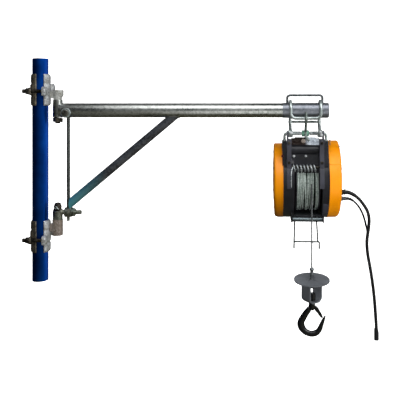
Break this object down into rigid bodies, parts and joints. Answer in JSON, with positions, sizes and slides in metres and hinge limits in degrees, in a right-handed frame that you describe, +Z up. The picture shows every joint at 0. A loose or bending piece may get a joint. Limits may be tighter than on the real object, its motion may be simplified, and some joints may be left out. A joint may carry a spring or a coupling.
{
  "type": "jib crane",
  "caption": "Small swing jib crane clamped to a blue scaffold pole, with a braced steel arm and an orange electric wire-rope hoist carrying a disc and a latched hook.",
  "frame": {"origin": "centre of the scaffold pole's bottom face", "axes": "+Z up along the pole, +X along the arm from the pole to the hoist, the hoist's drum lies behind the arm at +Y"},
  "size_m": [1.1058, 0.278, 0.886],
  "materials": {
    "blue_paint": "gloss",
    "galvanised_steel": "satin",
    "bolt_steel": "satin",
    "dark_steel": "satin",
    "black_paint": "satin",
    "orange_paint": "gloss",
    "black_rubber": "matte",
    "wire_rope_steel": "satin"
  },
  "bodies": {
    "pole": {"pole": "blue_paint", "upper_coupler_saddle": "galvanised_steel", "upper_coupler_flap": "galvanised_steel", "upper_coupler_bolts": "bolt_steel", "lower_coupler_saddle": "galvanised_steel", "lower_coupler_flap": "galvanised_steel", "lower_coupler_bolts": "bolt_steel", "upper_pivot_bracket": "galvanised_steel", "upper_pivot_pin": "galvanised_steel", "lower_pivot_socket": "galvanised_steel", "lower_pivot_pin": "galvanised_steel"},
    "jib": {"arm_hub": "galvanised_steel", "arm_tube": "galvanised_steel", "end_sleeve": "dark_steel", "tie_rod": "galvanised_steel", "tie_rod_bolt": "galvanised_steel", "brace_tube": "galvanised_steel", "brace_collar": "galvanised_steel", "lower_eye_bolt": "galvanised_steel", "bail": "galvanised_steel", "carry_handle": "dark_steel"},
    "keeper": {"keeper_lever": "galvanised_steel"},
    "hoist": {"suspension_shaft": "galvanised_steel", "hanger_straps": "black_paint", "top_plate": "black_paint", "spacer_tube": "black_paint", "left_casing": "black_paint", "right_casing": "black_paint", "left_cover": "orange_paint", "right_cover": "orange_paint", "guide_rod": "bolt_steel", "guide_spring": "bolt_steel", "bottom_bracket": "black_paint", "bottom_roller": "bolt_steel", "cable_glands": "black_rubber", "wire_rope": "wire_rope_steel", "supply_lead": "black_rubber", "supply_connector": "black_rubber", "control_lead": "black_rubber", "control_connector": "black_rubber"},
    "drum": {"drum": "black_paint", "rope_winding": "wire_rope_steel"},
    "limit_lever": {"limit_lever": "bolt_steel"},
    "hook_block": {"rope_ferrule": "bolt_steel", "limit_disc": "dark_steel", "swivel_bracket": "dark_steel"},
    "hook": {"hook": "black_paint"},
    "latch": {"hook_latch": "black_paint"}
  },
  "joints": [
    {"name": "jib_swing", "type": "hinge", "parent": "pole", "child": "jib", "pos_m": [0.055, 0, 0.3], "axis": [0, 0, 1], "range_deg": [-85, 85]},
    {"name": "hoist_tilt", "type": "hinge", "parent": "jib", "child": "hoist", "pos_m": [0.829, 0, 0.461], "axis": [1, 0, 0], "range_deg": [0, 20]},
    {"name": "keeper_swing", "type": "hinge", "parent": "jib", "child": "keeper", "pos_m": [0.829, 0, 0.461], "axis": [1, 0, 0], "range_deg": [0, 30], "stiffness_Nm_per_rad": 0.4, "springref_deg": -28.65},
    {"name": "drum_turn", "type": "hinge", "parent": "hoist", "child": "drum", "pos_m": [0.838, 0.0975, 0.305], "axis": [1, 0, 0], "range_deg": [-49, 352]},
    {"name": "lever_lift", "type": "slide", "parent": "hoist", "child": "limit_lever", "axis": [0, 0, 1], "range_m": [0, 0.01], "stiffness_N_per_m": 40, "springref_m": -0.02},
    {"name": "hook_travel", "type": "slide", "parent": "hoist", "child": "hook_block", "axis": [0, 0, -1], "range_m": [-0.084, 0.6], "deforming": ["wire_rope"]},
    {"name": "hook_swivel", "type": "hinge", "parent": "hook_block", "child": "hook", "pos_m": [0.849, 0, -0.06], "axis": [0, 0, 1], "continuous": true},
    {"name": "latch_swing", "type": "hinge", "parent": "hook", "child": "latch", "pos_m": [0.865, 0, -0.082], "axis": [0, 1, 0], "range_deg": [0, 35], "stiffness_Nm_per_rad": 0.02, "springref_deg": -28.65}
  ],
  "couplings": [
    {"joint": "hook_travel", "follows": "drum_turn", "m_per_rad": 0.0975}
  ]
}
